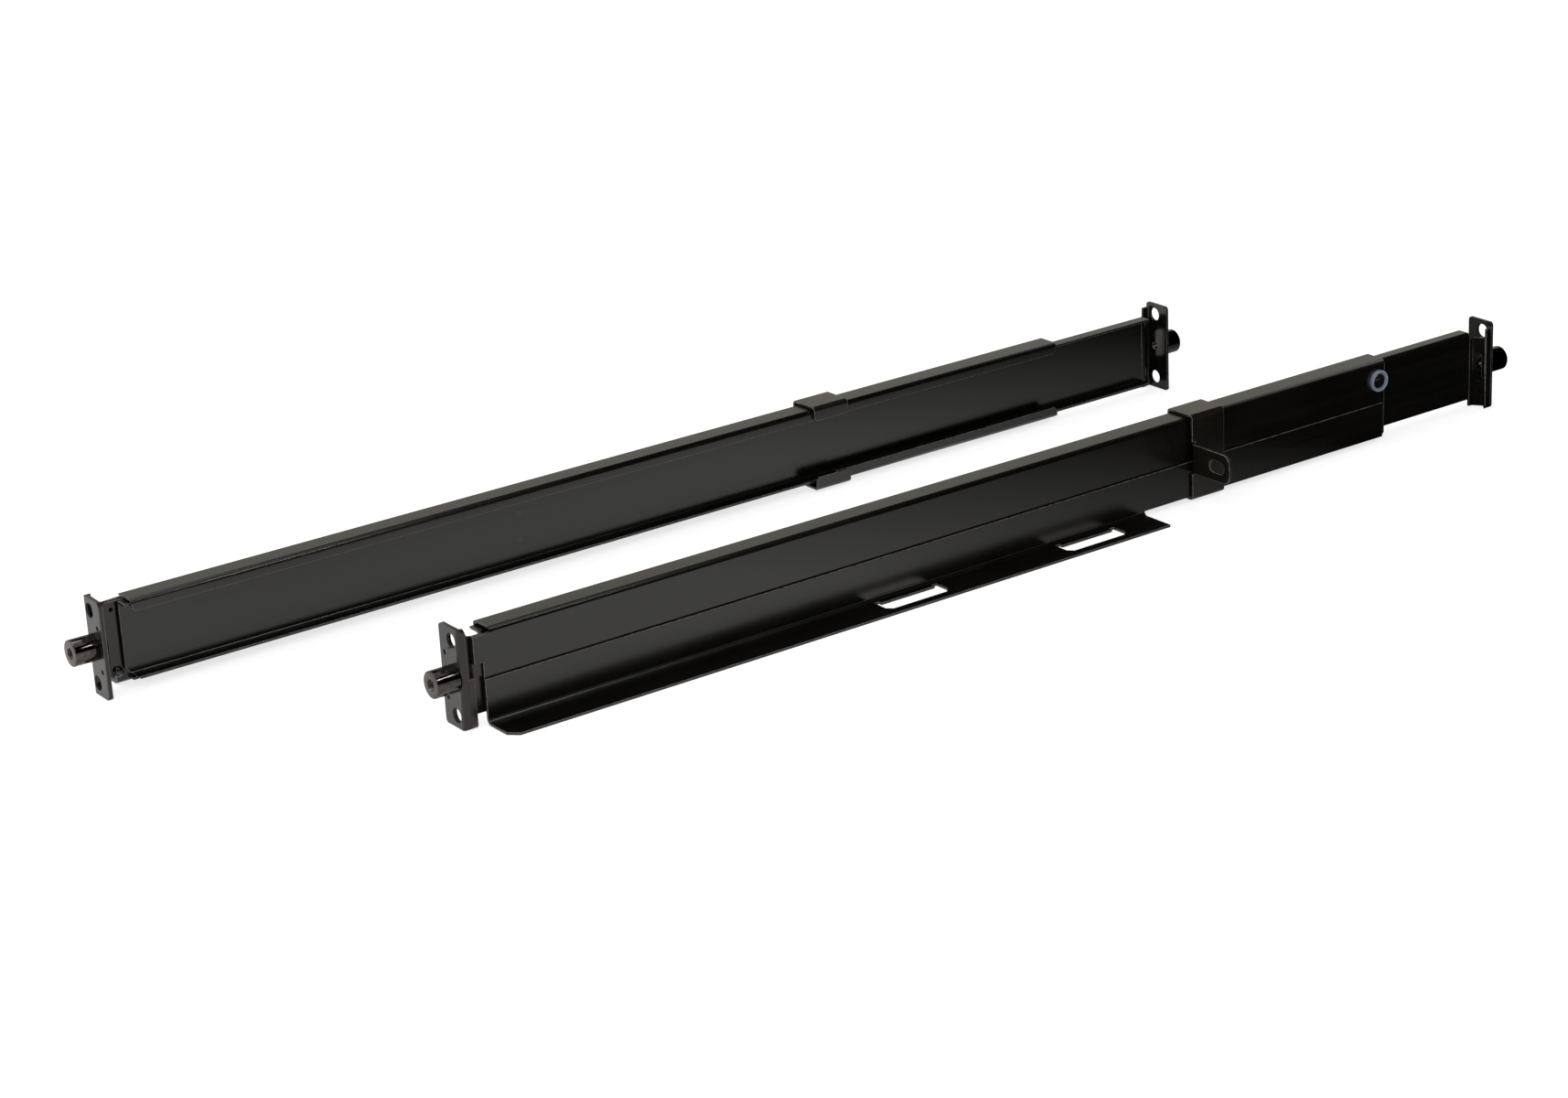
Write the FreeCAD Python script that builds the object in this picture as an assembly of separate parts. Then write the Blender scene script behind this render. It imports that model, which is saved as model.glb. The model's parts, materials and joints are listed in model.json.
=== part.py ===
import FreeCAD, Part
import math
import os
from FreeCAD import Vector

# A pair of sliding rails that carry a server in a rack, in millimetres.
# X runs from the front of the rack to its rear, Y across it, and Z up.
# Each rail is drawn once in its own frame: x is measured from the front ear's face,
# y from the server face of the channel's web towards the rack's side, and z from mid-height.
# The left-hand rail is that drawing, and the right-hand rail is its mirror image.

# pair
rail_length = 570.0            # front ear face to rear ear face, pushed together
pair_gap = 138.0               # between the two server faces
pair_stagger = 92.0            # the left rail stands this much further back
slide_travel = 280.0           # how far the rear half draws out

# ears
ear_height = 42.5
ear_width = 14.7
ear_thickness = 2.0
ear_corner_radius = 1.8
ear_bend_radius = 1.0
ear_overhang = 1.2             # past the server face of the web
ear_return = 6.0               # flange below mid-height, from the ear's face
ear_relief = 1.0
rack_hole_pitch = 31.75
rack_hole_diameter = 6.4
rack_hole_inset = 5.9          # from the ear's server edge to the hole centres
pilot_hole_diameter = 2.3
pilot_hole_pitch = 19.0
pilot_hole_inset = 11.5
ear_hole_run = 1.6             # how far the screws' holes clear what is behind the ear

# leg of the front ear, which lies in the channel
leg_length = 30.0
leg_edge_clearance = 0.3       # from the leg's edges to the channel's bends
leg_shoulder = 5.0             # radius of the curve from the ear down to the leg
leg_hole_diameter = 2.0
leg_hole_x = 10.0
leg_hole_z = 13.0

# folds of the rear ear: web, step, flange, plate
rear_return = 4.5              # flange along the rear ear's server edge
rear_flange_top = 18.5
rear_step = 3.6                # length of the step from the flange in to the web
rear_step_top = 14.3
rear_step_drop = 19.5
rear_slot_width = 3.0
rear_slot_length = 14.0

# studs
stud_diameter = 11.4
stud_length = 10.5
stud_spigot_diameter = 8.0
stud_spigot_clearance = 0.05
thread_core_diameter = 4.2

# outer channel
sheet = 1.2
sheet_bend_radius = 0.8
channel_height = 37.0
channel_depth = 12.5
channel_lip = 5.2
web_front = 7.0
web_notch_front = 11.0
web_notch_top = 4.8
flange_front = 15.0
flange_relief = 2.0
channel_showing = 70.0         # inner channel left in sight when the rail is pushed together
narrow_flange = 6.0
lip_length = 128.0             # lips run this far, at the channel's rear only
lip_chamfer = 1.6

# support angle
angle_top = -1.8
angle_front = 10.5
angle_rear_inset = 2.0         # angle's end from the channel's rear end
angle_bend_radius = 1.6
ledge_width = 17.0             # from the angle's own server face
ledge_rear_inset = 148.0       # ledge's end from the channel's rear end
ledge_corner = 4.0
ledge_relief = 3.0
window_length = 33.0
window_inset = 37.0            # rear window's middle from the ledge's end
window_pitch = 99.0
window_strip = 4.6             # metal left along the outer edge
window_web_margin = 4.2
window_chamfer = 2.4
window_notch_width = 2.2
window_notch_depth = 1.8

# inner channel
inner_clearance_z = 0.55
inner_clearance_lip = 0.3
inner_web_offset = 2.8         # from the outer web's inside face
inner_front = 12.4
inner_rear_gap = 2.0           # from the inner channel's flanges to the step
inner_front_chamfer = 5.0

# collar
collar_length = 19.0
collar_clearance = 0.3
collar_lip = 6.6
collar_chamfer = 1.2
left_collar_inset = 121.0      # collar's front edge from the channel's rear end
right_collar_inset = 143.5
tab_length = 24.0
tab_height = 13.6
tab_corner_radius = 4.4
tab_slot_length = 9.5
tab_slot_width = 5.5
tab_slot_inset = 8.2
tab_relief = 0.8

# glide bush, its screw and the glide pad
bush_inset = 4.2               # from the channel's rear end
bush_z = 9.0
bush_flange_diameter = 10.4
bush_flange_height = 1.8
bush_recess_diameter = 7.2
bush_recess_depth = 1.1
bush_body_diameter = 5.0
bush_bore_diameter = 2.8
bush_hole_clearance = 0.05
bush_running_gap = 0.3
screw_head_diameter = 6.4
screw_crown_diameter = 4.0
screw_head_height = 1.5
screw_shank_clearance = 0.05
screw_tip_gap = 0.6
pad_length = 20.0
pad_height = 22.0
pad_running_gap = 0.3
pad_chamfer = 0.9
pad_peg_width = 3.4
pad_peg_pitch = 12.0
pad_peg_clearance = 0.05
pad_stop_gap = 0.4

# stop rivet
stop_rivet_x = 9.7
stop_rivet_z = -14.0
stop_rivet_diameter = 2.8
stop_rivet_hole_clearance = 0.05
stop_rivet_head_diameter = 4.8
stop_rivet_crown_diameter = 3.0
stop_rivet_head_height = 1.9

tool_margin = 5.0              # how far a cutting tool runs past what it cuts

# worked out from the above
half_height = channel_height / 2
half_ear = ear_height / 2
web_inside = sheet
inner_web = web_inside + inner_web_offset
inner_half_height = half_height - sheet - inner_clearance_z
inner_flange_end = channel_depth - sheet - inner_clearance_lip
half_leg = half_height - sheet - sheet_bend_radius - leg_edge_clearance
ear_inside_edge = -ear_overhang
ear_outside_edge = ear_width - ear_overhang
hole_y = ear_inside_edge + rack_hole_inset
angle_face = -sheet
ledge_edge = angle_face - ledge_width
channel_rear = rail_length - channel_showing
lip_front = channel_rear - lip_length
angle_rear = channel_rear - angle_rear_inset
ledge_rear = channel_rear - ledge_rear_inset
collar_inside = angle_face - collar_clearance
collar_face = collar_inside - sheet
bush_x = channel_rear - bush_inset
inner_rear = rail_length - rear_return - rear_step - inner_rear_gap
pad_rear = bush_x - bush_body_diameter / 2 - pad_stop_gap - slide_travel
total_length = rail_length + pair_stagger
front_of_right = -total_length / 2
front_of_left = front_of_right + pair_stagger


def box(x0, x1, y0, y1, z0, z1):
    corner = Vector(min(x0, x1), min(y0, y1), min(z0, z1))
    return Part.makeBox(abs(x1 - x0), abs(y1 - y0), abs(z1 - z0), corner)


def rod(centre, direction, diameter, length):
    return Part.makeCylinder(diameter / 2, length, centre, direction)


def acrossSection(a, b):
    return Vector(0, a, b)


def alongPlan(a, b):
    return Vector(a, b, 0)


def onSide(a, b):
    return Vector(a, 0, b)


def outlineFace(points, place):
    corners = [place(a, b) for a, b in points]
    return Part.Face(Part.makePolygon(corners + corners[:1]))


def unit(start, end):
    reach = math.hypot(end[0] - start[0], end[1] - start[1])
    return (end[0] - start[0]) / reach, (end[1] - start[1]) / reach


def turnOf(before, corner, after):
    into = unit(before, corner)
    out = unit(corner, after)
    return math.atan2(into[0] * out[1] - into[1] * out[0], into[0] * out[0] + into[1] * out[1])


def offsetLine(points, distance):
    """the open line moved sideways to its left, with mitred corners"""
    shifted = []
    for index, point in enumerate(points):
        before = points[max(index - 1, 0)]
        after = points[min(index + 1, len(points) - 1)]
        turn = 0.0
        heading = unit(before, after)
        if 0 < index < len(points) - 1:
            turn = turnOf(before, point, after)
            into = unit(before, point)
            half = turn / 2
            heading = (into[0] * math.cos(half) - into[1] * math.sin(half),
                       into[0] * math.sin(half) + into[1] * math.cos(half))
        reach = distance / math.cos(turn / 2)
        shifted.append((point[0] - heading[1] * reach, point[1] + heading[0] * reach))
    return shifted


def roundedEdges(points, radii, place):
    """edges along an open line whose corners are arcs"""
    edges = []
    start = points[0]
    for before, corner, after, radius in zip(points, points[1:], points[2:], radii):
        turn = abs(turnOf(before, corner, after))
        into = unit(before, corner)
        out = unit(corner, after)
        trim = radius * math.tan(turn / 2)
        enter = (corner[0] - into[0] * trim, corner[1] - into[1] * trim)
        leave = (corner[0] + out[0] * trim, corner[1] + out[1] * trim)
        inward = unit((0, 0), (out[0] - into[0], out[1] - into[1]))
        sag = radius / math.cos(turn / 2) - radius
        middle = (corner[0] + inward[0] * sag, corner[1] + inward[1] * sag)
        edges.append(Part.LineSegment(place(*start), place(*enter)).toShape())
        edges.append(Part.Arc(place(*enter), place(*middle), place(*leave)).toShape())
        start = leave
    edges.append(Part.LineSegment(place(*start), place(*points[-1])).toShape())
    return edges


def bentSheet(points, thickness, bend, side, place):
    """section of a sheet bent along a line on one of its faces; side 1 puts the metal on its left"""
    far = offsetLine(points, side * thickness)
    near_radii = []
    far_radii = []
    for before, corner, after in zip(points, points[1:], points[2:]):
        folds_towards_metal = turnOf(before, corner, after) * side > 0
        near_radii.append(bend + thickness if folds_towards_metal else bend)
        far_radii.append(bend if folds_towards_metal else bend + thickness)
    near_edges = roundedEdges(points, near_radii, place)
    far_edges = roundedEdges(far, far_radii, place)
    caps = [Part.LineSegment(place(*points[0]), place(*far[0])).toShape(),
            Part.LineSegment(place(*points[-1]), place(*far[-1])).toShape()]
    loop = Part.Wire(Part.__sortEdges__(near_edges + far_edges + caps))
    return Part.Face(loop)


def extrude(face, x=0.0, y=0.0, z=0.0):
    return face.extrude(Vector(x, y, z))


def moved(shape, x=0.0, y=0.0, z=0.0):
    copy = shape.copy()
    copy.translate(Vector(x, y, z))
    return copy


def taperedHead(seat, outward, diameter, crown_diameter, height):
    """a fastener's head, whose low dome is drawn as a taper up to a flat crown"""
    return Part.makeCone(diameter / 2, crown_diameter / 2, height, seat, outward)


def roundedPlate(x0, x1, y0, y1, half, radius):
    plate = box(x0, x1, y0, y1, -half, half)
    corners = []
    for edge in plate.Edges:
        start = edge.Vertexes[0].Point
        end = edge.Vertexes[1].Point
        if abs(start.y - end.y) < sheet / 2 and abs(start.z - end.z) < sheet / 2:
            corners.append(edge)
    return plate.makeFillet(radius, corners)


def earHoles(x0, x1):
    """the two rack holes and the stud's hole of an ear"""
    start = x0 - ear_hole_run
    reach = x1 - x0 + 2 * ear_hole_run
    along = Vector(1, 0, 0)
    tools = [rod(Vector(start, hole_y, 0), along, stud_spigot_diameter, reach)]
    for sign in (-1, 1):
        tools.append(rod(Vector(start, hole_y, sign * rack_hole_pitch / 2), along,
                         rack_hole_diameter, reach))
    return tools


def pilotHoles():
    """the front ear's two small holes, between the stud and the rack holes"""
    start = Vector(-ear_hole_run, ear_inside_edge + pilot_hole_inset, 0)
    return [rod(start + Vector(0, 0, sign * pilot_hole_pitch / 2), Vector(1, 0, 0),
                pilot_hole_diameter, ear_thickness + 2 * ear_hole_run) for sign in (-1, 1)]


def outerChannel():
    section = bentSheet([(channel_depth, half_height - channel_lip), (channel_depth, half_height),
                         (0, half_height), (0, -half_height), (channel_depth, -half_height),
                         (channel_depth, channel_lip - half_height)],
                        sheet, sheet_bend_radius, 1, acrossSection)
    channel = moved(extrude(section, x=channel_rear - web_front), x=web_front)
    flat = half_height - sheet - sheet_bend_radius
    top = half_height + tool_margin
    deep = channel_depth + tool_margin
    tools = [
        box(0, flange_front, -tool_margin, deep, flat, top),
        box(0, flange_front, -tool_margin, deep, -flat, -top),
        box(0, flange_front, sheet + sheet_bend_radius, deep, -top, top),
        box(0, flange_front + flange_relief, -tool_margin, sheet + sheet_bend_radius,
            flat, half_height - sheet),
        box(0, web_notch_front, -tool_margin, deep, -top, web_notch_top),
    ]
    ramp = channel_depth - narrow_flange
    narrow = outlineFace([(0, narrow_flange), (lip_front - ramp, narrow_flange),
                          (lip_front, deep), (0, deep)], alongPlan)
    tools.append(moved(extrude(narrow, z=half_height), z=-top))
    for sign in (-1, 1):
        for end, way in ((flange_front, 1), (channel_rear, -1)):
            lip_end = sign * (half_height - channel_lip)
            wedge = outlineFace([(end - way * sheet, lip_end), (end + way * lip_chamfer, lip_end),
                                 (end, lip_end + sign * lip_chamfer),
                                 (end - way * sheet, lip_end + sign * lip_chamfer)], onSide)
            if sign > 0 or way < 0:
                tools.append(moved(extrude(wedge, y=-2 * sheet), y=channel_depth + sheet / 2))
    across = Vector(0, 1, 0)
    tools.append(rod(Vector(bush_x, -tool_margin, bush_z), across,
                     bush_body_diameter + 2 * bush_hole_clearance, 2 * tool_margin))
    return channel.cut(tools)


def windowTool(centre):
    """a window with chamfered corners, and a notch at each end of its web side"""
    low = ledge_edge + window_strip
    high = angle_face - window_web_margin
    x0 = centre - window_length / 2
    x1 = centre + window_length / 2
    cut = window_chamfer
    outline = [(x0 + cut, low), (x1 - cut, low), (x1, low + cut), (x1, high + window_notch_depth),
               (x1 - window_notch_width, high + window_notch_depth), (x1 - window_notch_width, high),
               (x0 + window_notch_width, high), (x0 + window_notch_width, high + window_notch_depth),
               (x0, high + window_notch_depth), (x0, low + cut)]
    prism = extrude(outlineFace(outline, alongPlan), z=2 * tool_margin)
    return moved(prism, z=-half_ear - tool_margin)


def supportAngle():
    section = bentSheet([(angle_face, angle_top), (angle_face, sheet - half_ear),
                         (ledge_edge, sheet - half_ear)], sheet, angle_bend_radius, 1, acrossSection)
    angle = moved(extrude(section, x=angle_rear - angle_front), x=angle_front)
    deep = ledge_edge - tool_margin
    corner = outlineFace([(angle_front - sheet, ledge_edge - sheet),
                          (angle_front + ledge_corner + sheet, ledge_edge - sheet),
                          (angle_front - sheet, ledge_edge + ledge_corner + sheet)], alongPlan)
    bend_start = sheet - half_ear + angle_bend_radius
    tools = [
        box(ledge_rear, angle_rear + sheet, deep, sheet, -half_height, -half_ear - sheet),
        box(ledge_rear, ledge_rear + ledge_relief, deep, sheet, bend_start, -half_ear - sheet),
        moved(extrude(corner, z=3 * sheet), z=-half_ear - sheet),
    ]
    rear_window = ledge_rear - window_inset
    tools += [windowTool(rear_window - window_pitch), windowTool(rear_window)]
    return angle.cut(tools)


def frontEar():
    joggle_end = web_front - ear_bend_radius / 2
    joggle_start = ear_thickness + ear_bend_radius
    face = [(0, ear_outside_edge), (0, ear_inside_edge)]
    straight = bentSheet(face + [(ear_return, ear_inside_edge)],
                         ear_thickness, ear_bend_radius, 1, alongPlan)
    joggled = bentSheet(face + [(joggle_start + ear_relief / 2, ear_inside_edge),
                                (joggle_end, web_inside), (leg_length, web_inside)],
                        ear_thickness, ear_bend_radius / 2, 1, alongPlan)
    lower = moved(extrude(straight, z=half_ear), z=-half_ear)
    upper = extrude(joggled, z=half_ear)
    leg = box(ear_return + ear_relief, leg_length, web_inside, web_inside + ear_thickness,
              -half_leg, ear_relief)
    shoulder = Part.makeCylinder(leg_shoulder, 2 * ear_width,
                                 Vector(joggle_start + leg_shoulder, -ear_width,
                                        half_leg + leg_shoulder), Vector(0, 1, 0))
    above = box(joggle_start + leg_shoulder, leg_length + tool_margin, -ear_width, ear_width,
                half_leg, half_ear + tool_margin)
    slit = box(ear_return, ear_return + ear_relief, -ear_width, ear_width, -half_ear, 0)
    ear = lower.fuse([upper, leg]).cut([shoulder, above, slit])
    ear = ear.common(roundedPlate(-sheet, leg_length + sheet, ear_inside_edge, ear_outside_edge,
                                  half_ear, ear_corner_radius))
    across = Vector(0, 1, 0)
    tools = earHoles(0, ear_thickness) + pilotHoles()
    tools.append(rod(Vector(leg_hole_x, 0, leg_hole_z), across, leg_hole_diameter, tool_margin))
    tools.append(rod(Vector(stop_rivet_x, 0, stop_rivet_z), across,
                     stop_rivet_diameter + 2 * stop_rivet_hole_clearance, tool_margin))
    return ear.cut(tools).removeSplitter()


def rearEar():
    """the rear ear, welded edge to edge to the inner web: a step, a flange, and the plate"""
    flange_end = rail_length - rear_return
    step_end = flange_end - rear_step
    face = [(rail_length, ear_outside_edge), (rail_length, ear_inside_edge)]
    straight = bentSheet(face + [(flange_end, ear_inside_edge)], sheet, ear_bend_radius, -1, alongPlan)
    stepped = bentSheet(face + [(flange_end, ear_inside_edge), (step_end, inner_web),
                                (inner_rear, inner_web)], sheet, ear_bend_radius / 2, -1, alongPlan)
    flange = moved(extrude(straight, z=half_ear + rear_flange_top), z=-half_ear)
    step = moved(extrude(stepped, z=rear_step_top + rear_step_drop), z=-rear_step_drop)
    plate = roundedPlate(rail_length - sheet, rail_length, ear_inside_edge,
                         ear_outside_edge, half_ear, ear_corner_radius)
    outline = roundedPlate(0, rail_length, ear_inside_edge, ear_outside_edge,
                           half_ear, ear_corner_radius)
    fold = flange.fuse(step).common(outline).fuse(plate)
    slot_x = step_end + rear_step / 2
    slot_half = (rear_slot_length - rear_slot_width) / 2
    across = Vector(0, 1, 0)
    tools = earHoles(rail_length - sheet, rail_length)
    tools.append(box(slot_x - rear_slot_width / 2, slot_x + rear_slot_width / 2,
                     -tool_margin, tool_margin + sheet, -slot_half, slot_half))
    for sign in (-1, 1):
        tools.append(rod(Vector(slot_x, -tool_margin, sign * slot_half), across,
                         rear_slot_width, 2 * tool_margin + sheet))
    return fold.cut(tools).removeSplitter()


def stud(face_x, outward, plate):
    """a tapped stand-off staked into an ear, pointing out of the ear's face"""
    along = Vector(outward, 0, 0)
    root = Vector(face_x, hole_y, 0)
    barrel = rod(root, along, stud_diameter, stud_length)
    spigot = rod(root - along * plate, along,
                 stud_spigot_diameter - 2 * stud_spigot_clearance, plate)
    bore = rod(root - along * tool_margin, along, thread_core_diameter,
               stud_length + 2 * tool_margin)
    return barrel.fuse(spigot).cut([bore]).removeSplitter()


def innerChannel():
    """the channel that slides in the outer one"""
    front = inner_front
    section = bentSheet([(inner_flange_end, inner_half_height), (inner_web, inner_half_height),
                         (inner_web, -inner_half_height), (inner_flange_end, -inner_half_height)],
                        sheet, sheet_bend_radius, 1, acrossSection)
    channel = moved(extrude(section, x=inner_rear - front), x=front)
    corner = outlineFace([(front - sheet, -inner_half_height - sheet),
                          (front + inner_front_chamfer, -inner_half_height - sheet),
                          (front - sheet, -inner_half_height + inner_front_chamfer)], onSide)
    tools = [extrude(corner, y=channel_depth)]
    tools += [pegBlock(z, inner_web - sheet, inner_web + 2 * sheet, pad_peg_clearance)
              for z in padPegHeights()]
    return channel.cut(tools)


def padPegHeights():
    return [-pad_peg_pitch / 2, pad_peg_pitch / 2]


def pegBlock(z, y0, y1, clearance=0.0):
    """one of the pad's square pegs, or with a clearance the hole that takes it"""
    middle = pad_rear - pad_length / 2
    half = pad_peg_width / 2 + clearance
    return box(middle - half, middle + half, y0, y1, z - half, z + half)


def glidePad():
    """the nylon pad on the inner web, with two square pegs pressed through the web"""
    near = web_inside + pad_running_gap
    block = box(pad_rear - pad_length, pad_rear, near, inner_web, -pad_height / 2, pad_height / 2)
    rubbing = [edge for edge in block.Edges
               if abs(edge.BoundBox.YMin - near) < sheet / 4 and edge.BoundBox.YLength < sheet / 4]
    pad = block.makeChamfer(pad_chamfer, rubbing)
    pegs = [pegBlock(z, inner_web, inner_web + sheet) for z in padPegHeights()]
    return pad.fuse(pegs).removeSplitter()


def glideBush():
    """the nylon bush through the outer web, whose end bears on the inner web"""
    across = Vector(0, 1, 0)
    centre = Vector(bush_x, 0, bush_z)
    flange = rod(centre, across * -1, bush_flange_diameter, bush_flange_height)
    body = rod(centre, across, bush_body_diameter, inner_web - bush_running_gap)
    recess = rod(centre - across * bush_flange_height, across, bush_recess_diameter,
                 bush_recess_depth)
    bore = rod(centre - across * tool_margin, across, bush_bore_diameter, 2 * tool_margin)
    return flange.fuse(body).cut([recess, bore]).removeSplitter()


def glideScrew():
    """the domed screw that spreads the bush"""
    across = Vector(0, 1, 0)
    seat = Vector(bush_x, bush_recess_depth - bush_flange_height, bush_z)
    head = taperedHead(seat, across * -1, screw_head_diameter, screw_crown_diameter,
                       screw_head_height)
    shank = rod(seat, across, bush_bore_diameter - 2 * screw_shank_clearance,
                inner_web - bush_running_gap - screw_tip_gap - seat.y)
    return head.fuse(shank).removeSplitter()


def collar(front):
    """the sleeve that slides on the outer channel, with its slotted tab"""
    edge_out = channel_depth + collar_clearance
    reach = half_height + collar_clearance
    section = bentSheet([(edge_out, reach + sheet - collar_lip), (edge_out, reach),
                         (collar_inside, reach), (collar_inside, -reach), (edge_out, -reach),
                         (edge_out, collar_lip - reach - sheet)],
                        sheet, sheet_bend_radius, -1, acrossSection)
    sleeve = extrude(section, x=collar_length)
    half_tab = tab_height / 2
    bend = sheet + sheet_bend_radius
    relief = box(-sheet, bend, collar_inside + sheet, collar_face - sheet,
                 -half_tab - tab_relief, half_tab + tab_relief)
    tab_end = collar_face - tab_length
    strip = bentSheet([(0, tab_end), (0, collar_inside), (collar_length / 2, collar_inside)],
                      sheet, sheet_bend_radius, -1, alongPlan)
    tab = moved(extrude(strip, z=tab_height), z=-half_tab)
    keep = box(-sheet, collar_length, tab_end, channel_depth, -half_tab, half_tab)
    corners = [edge for edge in keep.Edges
               if edge.BoundBox.YLength < sheet and edge.BoundBox.ZLength < sheet
               and edge.BoundBox.YMin < tab_end + sheet]
    tab = tab.common(keep.makeFillet(tab_corner_radius, corners))
    along = Vector(1, 0, 0)
    slot_y = tab_end + tab_slot_inset
    slot_half = (tab_slot_length - tab_slot_width) / 2
    slot = box(-sheet, bend, slot_y - slot_half, slot_y + slot_half,
               -tab_slot_width / 2, tab_slot_width / 2)
    tools = [slot]
    for sign in (-1, 1):
        tools.append(rod(Vector(-sheet, slot_y + sign * slot_half, 0), along, tab_slot_width,
                         sheet + bend))
    for sign in (-1, 1):
        tip = sign * (reach + sheet - collar_lip)
        for end, way in ((0.0, 1), (collar_length, -1)):
            past = tip - sign * sheet
            wedge = outlineFace([(end - way * sheet, past), (end + way * collar_chamfer, past),
                                 (end + way * collar_chamfer, tip),
                                 (end, tip + sign * collar_chamfer),
                                 (end - way * sheet, tip + sign * collar_chamfer)], onSide)
            tools.append(moved(extrude(wedge, y=3 * sheet), y=edge_out - sheet))
    sleeve = sleeve.cut(relief).fuse(tab).cut(tools).removeSplitter()
    return moved(sleeve, x=front)


def stopRivet():
    """the rivet in the front leg that the inner channel meets when it is pushed in"""
    across = Vector(0, 1, 0)
    seat = Vector(stop_rivet_x, web_inside + ear_thickness, stop_rivet_z)
    head = taperedHead(seat, across, stop_rivet_head_diameter, stop_rivet_crown_diameter,
                       stop_rivet_head_height)
    shank = rod(seat - across * ear_thickness, across, stop_rivet_diameter, ear_thickness)
    return shank.fuse(head).removeSplitter()


def railPieces(collar_front):
    return {
        "outer_channel": outerChannel(),
        "support_angle": supportAngle(),
        "front_ear": frontEar(),
        "front_stud": stud(0.0, -1, ear_thickness),
        "stop_rivet": stopRivet(),
        "glide_bush": glideBush(),
        "glide_screw": glideScrew(),
        "collar": collar(collar_front),
        "inner_channel": innerChannel(),
        "glide_pad": glidePad(),
        "rear_ear": rearEar(),
        "rear_stud": stud(rail_length, 1, sheet),
    }


def build():
    os.makedirs("parts", exist_ok=True)
    for name, shape in railPieces(channel_rear - left_collar_inset).items():
        placed = moved(shape, x=front_of_left, y=-pair_gap / 2, z=half_ear)
        placed.exportStep("parts/left_" + name + ".step")
    for name, shape in railPieces(channel_rear - right_collar_inset).items():
        flipped = shape.mirror(Vector(0, 0, 0), Vector(0, 1, 0))
        placed = moved(flipped, x=front_of_right, y=pair_gap / 2, z=half_ear)
        placed.exportStep("parts/right_" + name + ".step")


build()
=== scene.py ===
import json
import math
import bmesh
import bpy
import numpy as np
from mathutils import Matrix, Vector


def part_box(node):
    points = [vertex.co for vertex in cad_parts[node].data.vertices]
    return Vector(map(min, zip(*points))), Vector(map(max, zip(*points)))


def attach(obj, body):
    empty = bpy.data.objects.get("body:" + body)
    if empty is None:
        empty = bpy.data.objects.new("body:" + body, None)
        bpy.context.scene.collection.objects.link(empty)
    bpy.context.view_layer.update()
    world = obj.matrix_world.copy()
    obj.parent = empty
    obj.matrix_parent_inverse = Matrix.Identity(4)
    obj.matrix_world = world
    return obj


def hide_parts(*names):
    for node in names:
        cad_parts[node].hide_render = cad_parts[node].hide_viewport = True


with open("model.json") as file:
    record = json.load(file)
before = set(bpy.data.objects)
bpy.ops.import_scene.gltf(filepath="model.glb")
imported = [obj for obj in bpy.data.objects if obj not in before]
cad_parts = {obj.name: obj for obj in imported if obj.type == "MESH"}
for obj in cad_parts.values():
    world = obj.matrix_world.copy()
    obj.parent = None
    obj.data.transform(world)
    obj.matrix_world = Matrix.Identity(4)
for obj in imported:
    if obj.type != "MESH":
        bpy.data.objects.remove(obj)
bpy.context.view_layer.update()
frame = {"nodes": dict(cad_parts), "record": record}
hands = {"left": 1.0, "right": -1.0}  # the right-hand rail is the left one mirrored across the rack
mm = 0.001
print("frame loaded:", len(frame["nodes"]), "nodes")


def addNode(tree, kind, links=None, values=None, **settings):
    node = tree.nodes.new(kind)
    for key, value in settings.items():
        setattr(node, key, value)
    for key, value in (values or {}).items():
        node.inputs[key].default_value = value
    for key, socket in (links or {}).items():
        tree.links.new(socket, node.inputs[key])
    return node


def newFinish(name):
    finish = bpy.data.materials.new(name)
    finish.use_nodes = True
    tree = finish.node_tree
    place = addNode(tree, "ShaderNodeTexCoord").outputs["Object"]
    return finish, tree, tree.nodes["Principled BSDF"], place


def noiseOf(tree, place, scale, detail, roughness=0.5):
    # a smooth random field around 0.5; detail and roughness set how much finer structure it carries
    values = {"Scale": scale, "Detail": detail, "Roughness": roughness}
    return addNode(tree, "ShaderNodeTexNoise", {"Vector": place}, values).outputs["Fac"]


def drawnOut(tree, place, scales):
    return addNode(tree, "ShaderNodeMapping", {"Vector": place}, {"Scale": scales}).outputs["Vector"]


def rangeOf(tree, socket, low, high, fromLow=0.3, fromHigh=0.7):
    values = {"From Min": fromLow, "From Max": fromHigh, "To Min": low, "To Max": high}
    return addNode(tree, "ShaderNodeMapRange", {"Value": socket}, values).outputs["Result"]


def tintFrom(tree, shader, socket, look, span):
    # base colour from look["dark"] to look["pale"] as the pattern goes from span[0] to span[1]
    tint = addNode(tree, "ShaderNodeValToRGB", {"Fac": socket})
    for element, key, position in zip(tint.color_ramp.elements, ("dark", "pale"), span):
        element.position = position
        element.color = look[key]
    tree.links.new(tint.outputs["Color"], shader.inputs["Base Color"])


def bumpFrom(tree, shader, height, strength, depth):
    values = {"Strength": strength, "Distance": depth}
    bump = addNode(tree, "ShaderNodeBump", {"Height": height}, values)
    tree.links.new(bump.outputs["Normal"], shader.inputs["Normal"])


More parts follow.
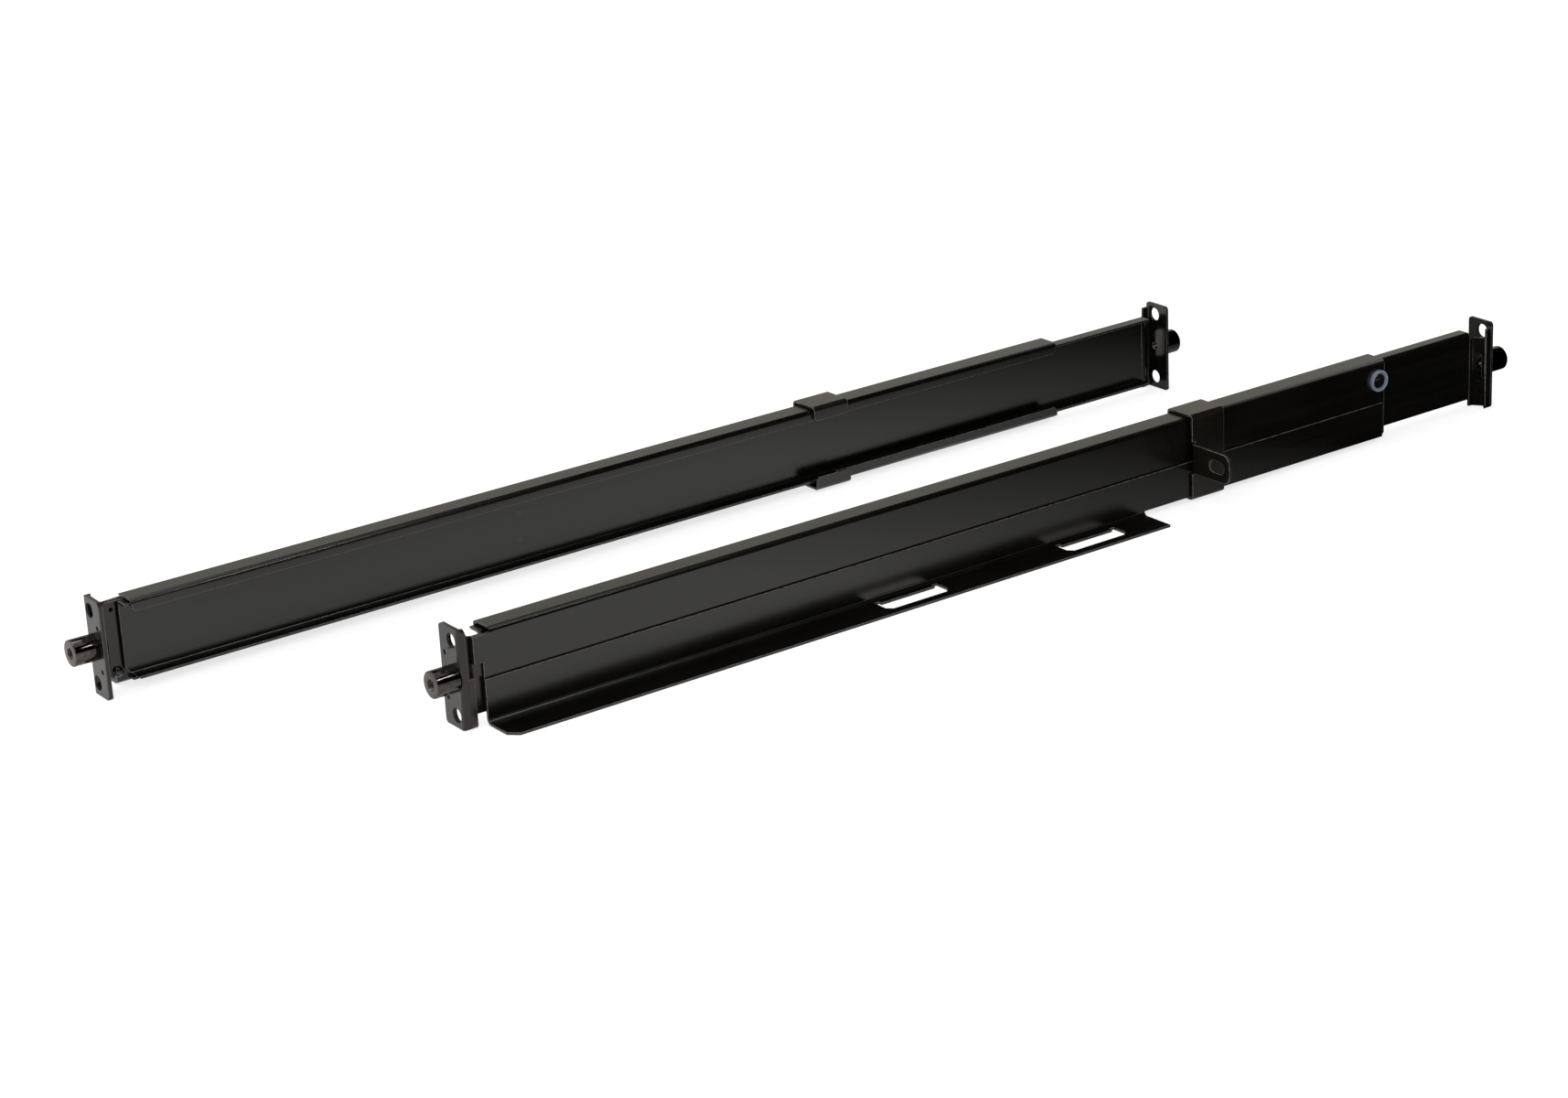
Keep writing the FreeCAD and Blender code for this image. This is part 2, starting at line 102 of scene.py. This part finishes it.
# smooth and rough are the ends of the roughness, shine and cast the strength and tint of the gloss, and streak
# the share of scuffs in the pattern; grain and cloud are per metre, and depths are in metres
coatLooks = {
    "black_paint": {
        "dark": (0.0020, 0.0018, 0.0014, 1), "pale": (0.0052, 0.0048, 0.0040, 1),
        "smooth": 0.17, "rough": 0.27, "shine": 0.46, "cast": (1.0, 0.985, 0.95, 1),
        "grain": 1500.0, "grainDepth": 0.000012, "cloud": 26.0, "streak": 0.6},
    "ear_paint": {
        "dark": (0.0026, 0.0021, 0.0019, 1), "pale": (0.0054, 0.0044, 0.0040, 1),
        "smooth": 0.17, "rough": 0.27, "shine": 0.44, "cast": (1.0, 0.92, 0.88, 1),
        "grain": 1300.0, "grainDepth": 0.000016, "cloud": 60.0, "streak": 0.1},
    "inner_paint": {
        "dark": (0.0020, 0.0019, 0.0015, 1), "pale": (0.0050, 0.0048, 0.0041, 1),
        "smooth": 0.17, "rough": 0.27, "shine": 0.45, "cast": (1.0, 0.985, 0.95, 1),
        "grain": 1500.0, "grainDepth": 0.000012, "cloud": 30.0, "streak": 0.75},
    "collar_paint": {
        "dark": (0.0050, 0.0039, 0.0028, 1), "pale": (0.0090, 0.0072, 0.0056, 1),
        "smooth": 0.17, "rough": 0.25, "shine": 0.5, "cast": (1.0, 0.95, 0.91, 1),
        "grain": 1400.0, "grainDepth": 0.000012, "cloud": 70.0, "streak": 0.1},
}
# the same in all four coats: detail and roughness of each pattern; scuffs are long in X, the way of the slide
coatPatterns = {"peel": (3.0, 0.55), "cloud": (4.0, 0.6), "scuff": (5.0, 0.65),
                "scuffScales": (3.0, 420.0, 420.0), "tintSpan": (0.35, 0.68), "peelStrength": 0.6}


def powderCoat(name, look):
    # satin powder coat: orange-peel bump, cloudy gloss, and faint scuffs drawn out along the slide
    finish, tree, shader, place = newFinish(name)
    shared = coatPatterns
    peel = noiseOf(tree, place, look["grain"], *shared["peel"])
    cloud = noiseOf(tree, place, look["cloud"], *shared["cloud"])
    scuff = noiseOf(tree, drawnOut(tree, place, shared["scuffScales"]), 1.0, *shared["scuff"])
    mix = addNode(tree, "ShaderNodeMix", {"A": cloud, "B": scuff}, {"Factor": look["streak"]})
    both = mix.outputs["Result"]
    tintFrom(tree, shader, both, look, shared["tintSpan"])
    tree.links.new(rangeOf(tree, both, look["smooth"], look["rough"]), shader.inputs["Roughness"])
    shader.inputs["Specular IOR Level"].default_value = look["shine"]
    shader.inputs["Specular Tint"].default_value = look["cast"]
    bumpFrom(tree, shader, peel, shared["peelStrength"], look["grainDepth"])
    return finish


# tool lines are close together in X, the stud's axis, and long across it
steelLook = {"dark": (0.044, 0.038, 0.036, 1), "pale": (0.088, 0.077, 0.073, 1), "tintSpan": (0.35, 0.7),
             "smooth": 0.07, "rough": 0.15, "cloud": 300.0, "cloudDetail": 4.0,
             "toolLines": (2600.0, 60.0, 60.0), "lineDetail": 2.0, "lineStrength": 0.5, "lineDepth": 0.000004}


def turnedCoat(name, look):
    # black plating on turned steel: a dark metal, with tool lines round the axis as a fine bump
    finish, tree, shader, place = newFinish(name)
    lines = noiseOf(tree, drawnOut(tree, place, look["toolLines"]), 1.0, look["lineDetail"])
    cloud = noiseOf(tree, place, look["cloud"], look["cloudDetail"])
    tintFrom(tree, shader, cloud, look, look["tintSpan"])
    tree.links.new(rangeOf(tree, cloud, look["smooth"], look["rough"]), shader.inputs["Roughness"])
    shader.inputs["Metallic"].default_value = 1.0
    bumpFrom(tree, shader, lines, look["lineStrength"], look["lineDepth"])
    return finish


smallLooks = {
    "black_rivet": {"dark": (0.0025, 0.0022, 0.0020, 1), "pale": (0.006, 0.0055, 0.005, 1),
                    "smooth": 0.07, "rough": 0.15, "grain": 900.0},
    # the edge coat is pale partly as thin worn paint and partly as a painted highlight along the cut edges
    "edge_wear_and_painted_highlight": {"dark": (0.040, 0.036, 0.032, 1), "pale": (0.120, 0.108, 0.096, 1),
                  "smooth": 0.22, "rough": 0.40, "grain": 500.0},
    "black_screw": {"dark": (0.004, 0.004, 0.0044, 1), "pale": (0.008, 0.008, 0.009, 1),
                    "smooth": 0.08, "rough": 0.16, "grain": 700.0},
    "black_nylon": {"dark": (0.0020, 0.0019, 0.0015, 1), "pale": (0.0050, 0.0048, 0.0041, 1),
                    "smooth": 0.17, "rough": 0.27, "grain": 1100.0},
}
smallPatterns = {"detail": 4.0, "tintSpan": (0.35, 0.7), "castStrength": 0.4, "castDepth": 0.00001}


def smallCoat(name, look):
    # small black fittings, and cut edges made paler partly as thinly worn coat and partly as a painted
    # highlight: mottled tint and gloss with a shallow cast bump
    finish, tree, shader, place = newFinish(name)
    shared = smallPatterns
    mottle = noiseOf(tree, place, look["grain"], shared["detail"])
    tintFrom(tree, shader, mottle, look, shared["tintSpan"])
    tree.links.new(rangeOf(tree, mottle, look["smooth"], look["rough"]), shader.inputs["Roughness"])
    bumpFrom(tree, shader, mottle, shared["castStrength"], shared["castDepth"])
    return finish


nylonLook = {"dark": (0.58, 0.68, 0.90, 1), "pale": (0.66, 0.75, 0.95, 1), "tintSpan": (0.3, 0.7),
             "smooth": 0.16, "rough": 0.26, "grain": 500.0, "detail": 3.0, "clear": 0.7, "milk": 0.12,
             "milkReach": 0.001, "castStrength": 0.3, "castDepth": 0.00001}


def clearNylon(name, look):
    # natural nylon: slightly blue and partly clear, with light spreading a little way below its skin
    finish, tree, shader, place = newFinish(name)
    mottle = noiseOf(tree, place, look["grain"], look["detail"])
    tintFrom(tree, shader, mottle, look, look["tintSpan"])
    tree.links.new(rangeOf(tree, mottle, look["smooth"], look["rough"]), shader.inputs["Roughness"])
    shader.inputs["Subsurface Weight"].default_value = look["milk"]
    shader.inputs["Subsurface Scale"].default_value = look["milkReach"]
    shader.inputs["Transmission Weight"].default_value = look["clear"]
    bumpFrom(tree, shader, mottle, look["castStrength"], look["castDepth"])
    return finish


finishes = {name: powderCoat(name, look) for name, look in coatLooks.items()}
finishes["stud_steel"] = turnedCoat("stud_steel", steelLook)
finishes.update({name: smallCoat(name, look) for name, look in smallLooks.items()})
finishes["clear_nylon"] = clearNylon("clear_nylon", nylonLook)
print("finishes made:", len(finishes))

bodyOf = {node: body for body, nodes in frame["record"]["behaviour"]["bodies"].items() for node in nodes}


def newObject(piece, mesh):
    made = bpy.data.objects.new(piece, mesh)
    bpy.context.scene.collection.objects.link(made)
    return made


def standFor(made, node, slotName):
    made.data.materials.clear()
    made.data.materials.append(finishes[slotName])
    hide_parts(node)
    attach(made, bodyOf[node])


# slot, softness of the cut edges in mm, and the length in mm under which a cut edge stays sharp
sheetLooks = {
    "outer_channel": ("black_paint", 0.26, 0.9), "support_angle": ("black_paint", 0.28, 0.0),
    "inner_channel": ("inner_paint", 0.26, 0.0), "front_ear": ("ear_paint", 0.30, 0.9),
    "rear_ear": ("inner_paint", 0.24, 0.9), "collar": ("collar_paint", 0.28, 0.0),
    "glide_pad": ("black_nylon", 0.04, 0.0),
}
cutAngle = math.radians(38)  # sharper corners than this are cut edges
flatAngle = math.radians(0.6)  # faces that meet flatter than this become one
weldDistance = 0.06 * mm
edgeSteps = 2  # faces across a softened edge
plugSpare = 0.1 * mm  # how far past the plug's box a corner still counts as inside it


def isInside(point, low, high):
    return all(a - plugSpare <= value <= b + plugSpare for value, a, b in zip(point, low, high))


def softenedCopy(node, piece, softness, shortest, plug):
    # the CAD node's own mesh, welded, with its cut edges rounded and given the second finish
    work = bmesh.new()
    work.from_mesh(frame["nodes"][node].data)
    bmesh.ops.remove_doubles(work, verts=work.verts, dist=weldDistance)
    bmesh.ops.dissolve_limit(work, angle_limit=flatAngle, verts=work.verts, edges=work.edges)
    weight = work.edges.layers.float.new("bevel_weight_edge")
    for line in work.edges:
        isPlugged = plug and all(isInside(corner.co, *plug) for corner in line.verts)
        isCut = line.calc_face_angle(0.0) > cutAngle and line.calc_length() > shortest * mm
        line[weight] = float(isCut and not isPlugged)
    mesh = bpy.data.meshes.new(piece)
    work.to_mesh(mesh)
    work.free()
    mesh.shade_smooth()
    made = newObject(piece, mesh)
    edge = made.modifiers.new("softEdge", "BEVEL")
    edge.width = softness * mm
    edge.segments = edgeSteps
    edge.limit_method = "WEIGHT"
    edge.use_clamp_overlap = False
    edge.material = 1  # the cut edge gets the paler edge coat: partly thin worn paint, partly a painted highlight
    level = made.modifiers.new("evenShade", "WEIGHTED_NORMAL")
    level.keep_sharp = False
    return made


for hand in hands:
    for key, (slotName, softness, shortest) in sheetLooks.items():
        node = hand + "_" + key
        # the pad's pegs fill their holes in the inner channel flush, so those edges stay sharp
        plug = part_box(hand + "_glide_pad") if key == "inner_channel" else None
        made = softenedCopy(node, hand + "_coated_" + key, softness, shortest, plug)
        standFor(made, node, slotName)
        # second slot: the paler edge coat, thin worn paint together with a painted highlight on every cut edge
        made.data.materials.append(finishes["edge_wear_and_painted_highlight"])
print("sheet-metal pieces coated:", len(sheetLooks) * len(hands))

poleDistance = 0.001 * mm  # points closer than this become one
sliverLength = 0.0001 * mm  # edges shorter than this are taken out
creaseAngle = math.radians(40)  # sharper turns than this keep a hard edge


def turnedMesh(piece, along, out, around, centre, axis, carve=None):
    # point(u, v) = centre + axis*along(v) + out(v)*(side*cos u + lift*sin u); u goes round the axis and
    # v along the closed profile, and carve may change both out and along at each point
    angle = np.linspace(0.0, 2 * math.pi, around, endpoint=False)
    axis = np.array(axis, float)
    side = np.array((0.0, 0.0, 1.0))
    lift = np.cross(axis, side)
    radii = np.repeat(np.asarray(out, float)[None, :], around, axis=0)
    heights = np.repeat(np.asarray(along, float)[None, :], around, axis=0)
    if carve is not None:
        radii, heights = carve(angle[:, None], radii, heights)
    ring = side * np.cos(angle)[:, None] + lift * np.sin(angle)[:, None]
    points = np.array(centre, float) + heights[..., None] * axis + radii[..., None] * ring[:, None, :]
    count = len(along)
    here = np.arange(around * count).reshape(around, count)
    u, v = np.meshgrid(np.arange(around), np.arange(count), indexing="ij")
    nextU = (u + 1) % around
    nextV = (v + 1) % count
    faces = np.stack([here[u, v], here[nextU, v], here[nextU, nextV], here[u, nextV]], axis=-1)
    mesh = bpy.data.meshes.new(piece)
    mesh.from_pydata(points.reshape(-1, 3).tolist(), [], faces.reshape(-1, 4).tolist())
    work = bmesh.new()
    work.from_mesh(mesh)
    bmesh.ops.remove_doubles(work, verts=work.verts, dist=poleDistance)
    bmesh.ops.dissolve_degenerate(work, edges=work.edges, dist=sliverLength)
    bmesh.ops.recalc_face_normals(work, faces=work.faces)
    work.to_mesh(mesh)
    work.free()
    mesh.shade_smooth()
    mesh.set_sharp_from_angle(angle=creaseAngle)
    return newObject(piece, mesh)


def seatOf(node, way, axisName):
    # the middle of the node's outer face, and the node's length along its axis in mm
    low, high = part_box(node)
    seat = (low + high) / 2
    setattr(seat, axisName, getattr(low if way < 0 else high, axisName))
    return seat, (getattr(high, axisName) - getattr(low, axisName)) / mm


def pathOf(corners, softness, steps):
    # each corner of a closed profile becomes a short curve between two points on its sides:
    # point(t) = (1-t)^2*start + 2t(1-t)*corner + t^2*end, in steps pieces; a softness of 0 keeps the corner
    corners = [np.array(corner, float) for corner in corners]
    share = np.linspace(0, 1, steps + 1)[:, None]
    line = []
    for index, (corner, reach) in enumerate(zip(corners, softness)):
        before = corners[index - 1] - corner
        after = corners[(index + 1) % len(corners)] - corner
        if reach == 0:
            line.append(corner)
            continue
        start = corner + before / np.linalg.norm(before) * reach
        end = corner + after / np.linalg.norm(after) * reach
        line.extend((1 - share) ** 2 * start + 2 * share * (1 - share) * corner + share ** 2 * end)
    return np.array(line)


# in mm: barrel is the length outside the ear, core and spigot are radii, softness is for the six corners of the
# half section, margin keeps the thread off the two ends, and fade and mouth are the lengths over which the
# thread deepens and the countersink closes
studLook = {"pitch": 0.8, "threadDepth": 0.42, "core": 2.1, "spigot": 3.95, "barrel": 10.5,
            "softness": (0, 0.45, 0.2, 0.05, 0.05, 0), "cornerSteps": 4, "margin": 0.05,
            "fade": 0.9, "mouth": 0.5, "stepsPerPitch": 8, "around": 64}


def studPiece(node, piece, way):
    # tapped stand-off: bore radius = core + threadDepth*triangle(along/pitch - way*turn)*fade(depth),
    # or the countersink core + threadDepth*(1 - depth/mouth) where that is wider
    look = studLook
    centre, total = seatOf(node, way, "x")
    low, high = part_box(node)
    radius = (high.y - low.y) / 2 / mm
    corners = [(0, look["core"] + look["threadDepth"]), (0, radius), (-look["barrel"], radius),
               (-look["barrel"], look["spigot"]), (-total, look["spigot"]), (-total, look["core"])]
    shell = pathOf(corners, look["softness"], look["cornerSteps"])
    rows = int(total / look["pitch"] * look["stepsPerPitch"])
    bore = np.linspace(-total + look["margin"], -look["margin"], rows)
    along = np.concatenate([shell[:, 0], bore]) * mm
    out = np.concatenate([shell[:, 1], np.full(rows, look["core"])]) * mm
    first = len(shell)

    def cutThread(angle, radii, heights):
        depth = -heights[:, first:] / mm
        phase = (-depth / look["pitch"] - angle / (2 * math.pi) * way) % 1.0
        ridge = look["threadDepth"] * (1 - np.abs(2 * phase - 1)) * np.clip(depth / look["fade"], 0, 1)
        mouth = look["threadDepth"] * (1 - np.clip(depth / look["mouth"], 0, 1))
        radii[:, first:] += np.maximum(ridge, mouth) * mm
        return radii, heights

    return turnedMesh(piece, along, out, look["around"], centre, (way, 0, 0), cutThread)


for hand in hands:
    for end, way in (("front", -1.0), ("rear", 1.0)):
        node = f"{hand}_{end}_stud"
        standFor(studPiece(node, f"{hand}_tapped_{end}_stud", way), node, "stud_steel")
print("studs turned and threaded:", 2 * len(hands))

# radii and lengths in mm, with a softness for each of the eight corners of the half section
bushLook = {"flange": 5.1, "height": 1.8, "recess": 4.1, "recessDepth": 0.9, "body": 2.5, "bore": 1.4,
            "softness": (0.1, 0.2, 0.25, 0.6, 0.1, 0.1, 0.3, 0.2), "cornerSteps": 6, "around": 72}


def bushPiece(node, piece, way):
    # flanged bush: a closed profile with rounded corners carried round its axis
    look = bushLook
    centre, total = seatOf(node, way, "y")
    corners = [(-look["recessDepth"], look["bore"]), (-look["recessDepth"], look["recess"]),
               (0, look["recess"]), (0, look["flange"]),
               (-look["height"], look["flange"]), (-look["height"], look["body"]),
               (-total, look["body"]), (-total, look["bore"])]
    line = pathOf(corners, look["softness"], look["cornerSteps"]) * mm
    return turnedMesh(piece, line[:, 0], line[:, 1], look["around"], centre, (0, way, 0))


def domedProfile(look, total):
    # along(r) = rise*((1 - (r/head)^2)^dome - 1) from the crown out to the rim, then in to a plain shank
    crown = look["head"] * np.sin(np.linspace(0, math.pi / 2, look["rows"]))
    dome = look["rise"] * (1 - (crown / look["head"]) ** 2) ** look["dome"] - look["rise"]
    along = np.concatenate([dome, [-look["rise"], -total, -total]]) * mm
    out = np.concatenate([crown, [look["shank"], look["shank"], 0.0]]) * mm
    return along, out


# radii and lengths in mm: the cross has arms of half width slotHalf that reach slotReach from the axis, and
# slotWall and slotEnd are the widths of their sloping sides and ends
screwLook = {"head": 3.6, "rise": 1.5, "dome": 0.55, "shank": 1.35, "slotHalf": 0.5, "slotReach": 1.9,
             "slotDepth": 0.55, "slotWall": 0.3, "slotEnd": 0.45, "rows": 70, "around": 240}


def screwPiece(node, piece, way):
    # domed head less a cross recess: depth = slotDepth*smooth(inArm*inReach), with smooth(w) = w*w*(3 - 2*w)
    # and nearer and farther the distances from the middle planes of the two arms
    look = screwLook
    centre, total = seatOf(node, way, "y")
    along, out = domedProfile(look, total)

    def cutCross(angle, radii, heights):
        across = np.abs(radii * np.cos(angle)) / mm
        upward = np.abs(radii * np.sin(angle)) / mm
        nearer, farther = np.minimum(across, upward), np.maximum(across, upward)
        inArm = np.clip((look["slotHalf"] - nearer) / look["slotWall"] + 0.5, 0, 1)
        inReach = np.clip((look["slotReach"] - farther) / look["slotEnd"] + 0.5, 0, 1)
        wall = inArm * inReach
        wall = wall * wall * (3 - 2 * wall)
        wall[:, look["rows"]:] = 0
        return radii, heights - wall * look["slotDepth"] * mm

    return turnedMesh(piece, along, out, look["around"], centre, (0, way, 0), cutCross)


# radii and lengths in mm
rivetLook = {"head": 2.4, "rise": 1.9, "dome": 0.45, "shank": 1.4, "rows": 20, "around": 48}


def rivetPiece(node, piece, way):
    # snap head: a nearly round dome on a plain shank
    centre, total = seatOf(node, way, "y")
    along, out = domedProfile(rivetLook, total)
    return turnedMesh(piece, along, out, rivetLook["around"], centre, (0, way, 0))


# maker, name, slot and face: -1 looks to the rail's server side and 1 to its rack side
fittings = (
    {"glide_bush": (bushPiece, "nylon_bush", "clear_nylon", -1),
     "glide_screw": (screwPiece, "bush_screw", "black_screw", -1)},
    {"stop_rivet": (rivetPiece, "snap_rivet", "black_rivet", 1)},
)
for group in fittings:
    for hand, sign in hands.items():
        for key, (make, piece, slotName, face) in group.items():
            node = hand + "_" + key
            standFor(make(node, hand + "_" + piece, face * sign), node, slotName)
print("bushes, screws and rivets finished")


def lightPathMix(tree, seen, lit):
    # seen is shown to the camera, a gloss or a clear piece, and lit is for the light that it gives
    path = addNode(tree, "ShaderNodeLightPath")
    sight = path.outputs["Is Camera Ray"]
    for ray in ("Is Glossy Ray", "Is Transmission Ray"):
        either = addNode(tree, "ShaderNodeMath", {0: sight, 1: path.outputs[ray]}, operation="MAXIMUM")
        sight = either.outputs["Value"]
    return addNode(tree, "ShaderNodeMixShader", {0: sight, 1: lit, 2: seen}).outputs["Shader"]


def bareTree(owner, outputKind):
    owner.use_nodes = True
    owner.node_tree.nodes.clear()
    return owner.node_tree, addNode(owner.node_tree, outputKind)


white = (1, 1, 1, 1)
# half is half the floor's width in metres, paper its shade for the light it gives, seenPaper and lift its look
floorLook = {"half": 6, "paper": 0.86, "seenPaper": 0.45, "lift": 0.74}
half = floorLook["half"]
floorCorners = [(-half, -half, 0), (half, -half, 0), (half, half, 0), (-half, half, 0)]
floorMesh = bpy.data.meshes.new("floor")
floorMesh.from_pydata(floorCorners, [], [(0, 1, 2, 3)])
pale = bpy.data.materials.new("pale_floor")
tree, floorOut = bareTree(pale, "ShaderNodeOutputMaterial")
matt = addNode(tree, "ShaderNodeBsdfDiffuse", None, {"Color": (floorLook["paper"],) * 3 + (1,)})
seenMatt = addNode(tree, "ShaderNodeBsdfDiffuse", None, {"Color": (floorLook["seenPaper"],) * 3 + (1,)})
lift = addNode(tree, "ShaderNodeEmission", None, {"Color": white, "Strength": floorLook["lift"]})
shown = addNode(tree, "ShaderNodeAddShader", {0: seenMatt.outputs["BSDF"], 1: lift.outputs["Emission"]})
tree.links.new(lightPathMix(tree, shown.outputs["Shader"], matt.outputs["BSDF"]), floorOut.inputs["Surface"])
floorMesh.materials.append(pale)
newObject("floor", floorMesh)

worldLook = {"seen": 1.0, "lit": 0.5}  # brightness of the backdrop, and of the light that it gives
world = bpy.data.worlds.new("studio")
bpy.context.scene.world = world
tree, worldOut = bareTree(world, "ShaderNodeOutputWorld")
backdrop, ambient = (
    addNode(tree, "ShaderNodeBackground", None, {"Color": white, "Strength": worldLook[key]})
    for key in ("seen", "lit"))
glow = lightPathMix(tree, backdrop.outputs["Background"], ambient.outputs["Background"])
tree.links.new(glow, worldOut.inputs["Surface"])

# dark cards that only the gloss sees: turns are in degrees round the object, lows are the low edge's heights
# there, lengths are in metres, most is how much of the card shows, and one of them glows a dim brown
cardLooks = {
    "frontCard": {"radius": 1.7, "turns": (-75, 25, 45, 80), "lows": (0.24, 0.24, 0.0, 0.0),
                  "high": 3.0, "most": 1.0},
    "sideCard": {"radius": 1.72, "turns": (80, 95, 150, 175), "lows": (0.0, 0.9, 1.0, 1.2),
                 "high": 3.0, "most": 1.0},
    "rearCard": {"radius": 1.74, "turns": (100, 200), "lows": (0.25, 0.25),
                 "high": 1.3, "most": 0.5, "glow": (0.20, 0.14, 0.0, 1)},
}
cardColumns = 24
# this one lies on the floor and thickens with reach = across.position, from clearAt to blackAt
floorCardLook = {"corners": ((-0.9, -1.2), (1.6, -1.2), (1.6, 0.5), (-0.1, 0.5)), "height": 0.0002,
                 "across": (1.0, -0.79, 0.0), "clearAt": 0.04, "blackAt": 0.31, "most": 1.0}


def cardFinish(name, look):
    finish = bpy.data.materials.new(name)
    tree, out = bareTree(finish, "ShaderNodeOutputMaterial")
    values = {"Color": look.get("glow", (0, 0, 0, 1)), "Strength": 1.0}
    glow = addNode(tree, "ShaderNodeEmission", None, values).outputs["Emission"]
    clear = addNode(tree, "ShaderNodeBsdfTransparent").outputs["BSDF"]
    mix = addNode(tree, "ShaderNodeMixShader", {1: clear, 2: glow}, {0: look["most"]})
    if "clearAt" in look:
        place = addNode(tree, "ShaderNodeTexCoord").outputs["Object"]
        dot = addNode(tree, "ShaderNodeVectorMath", {0: place}, {1: look["across"]}, operation="DOT_PRODUCT")
        reach = dot.outputs["Value"]
        share = rangeOf(tree, reach, 0.0, look["most"], look["clearAt"], look["blackAt"])
        tree.links.new(share, mix.inputs[0])
    tree.links.new(mix.outputs["Shader"], out.inputs["Surface"])
    return finish


def placeCard(name, look, points, faces):
    mesh = bpy.data.meshes.new(name)
    mesh.from_pydata(points, [], faces)
    mesh.materials.append(cardFinish(name, look))
    card = newObject(name, mesh)
    for ray in ("camera", "diffuse", "transmission", "volume_scatter", "shadow"):
        setattr(card, "visible_" + ray, False)


def standingCard(name, look):
    # point(u, v) = radius*(sin u, -cos u) at height v; u runs round the object, and v from the low edge up
    turn = np.linspace(look["turns"][0], look["turns"][-1], cardColumns)
    foot = np.interp(turn, look["turns"], look["lows"])
    bend = np.radians(turn)
    low = np.stack([look["radius"] * np.sin(bend), -look["radius"] * np.cos(bend), foot], axis=-1)
    high = low.copy()
    high[:, 2] = look["high"]
    index = np.arange(cardColumns - 1)
    faces = np.stack([index, index + 1, index + cardColumns + 1, index + cardColumns], axis=-1)
    placeCard(name, look, np.concatenate([low, high]).tolist(), faces.tolist())


for name, look in cardLooks.items():
    standingCard(name, look)
floorCardPoints = [corner + (floorCardLook["height"],) for corner in floorCardLook["corners"]]
placeCard("floorCard", floorCardLook, floorCardPoints, [(0, 1, 2, 3)])
print("floor, backdrop and cards placed")

# size in metres and power in watts
lampLooks = {
    "overheadSoftbox": {"place": (-0.5, 0.45, 1.3), "aim": (0.0, 0.0, 0.0), "size": (1.6, 1.2), "power": 11.0},
    "frontSoftbox": {"place": (-1.1, -0.9, 0.9), "aim": (-0.1, 0.0, 0.0), "size": (0.9, 0.9), "power": 5.0},
    "rightStrip": {"place": (0.25, -0.81, 0.87), "aim": (-0.3, 0.0, 0.02), "size": (0.35, 0.07), "power": 1.8},
}
for name, look in lampLooks.items():
    lamp = bpy.data.lights.new(name, "AREA")
    lamp.shape = "RECTANGLE"
    lamp.size, lamp.size_y = look["size"]
    lamp.energy = look["power"]
    made = newObject(name, lamp)
    made.location = look["place"]
    made.rotation_euler = (Vector(look["aim"]) - Vector(look["place"])).to_track_quat("-Z", "Y").to_euler()

# heading is from +Y towards +X and down is below level, in degrees; lens and sensor are in mm
cameraLook = {"place": (-0.8891, -1.2221, 0.5660), "heading": 34.99, "down": 20.65, "roll": -2.94,
              "lens": 84.0, "sensor": 36.0, "nearest": 0.05}
cameraData = bpy.data.cameras.new("viewCamera")
cameraData.sensor_width = cameraLook["sensor"]
cameraData.lens = cameraLook["lens"]
cameraData.clip_start = cameraLook["nearest"]
camera = newObject("viewCamera", cameraData)
heading, down, roll = (math.radians(cameraLook[key]) for key in ("heading", "down", "roll"))
forward = Vector((math.sin(heading) * math.cos(down), math.cos(heading) * math.cos(down), -math.sin(down)))
level = forward.cross(Vector((0, 0, 1))).normalized()
above = level.cross(forward)
right = level * math.cos(roll) + above * math.sin(roll)
upward = right.cross(forward)
turn = Matrix((right, upward, -forward)).transposed().to_4x4()
camera.matrix_world = Matrix.Translation(Vector(cameraLook["place"])) @ turn
bpy.context.scene.camera = camera
bpy.context.scene.view_settings.view_transform = "Standard"
print("lamps and camera placed")
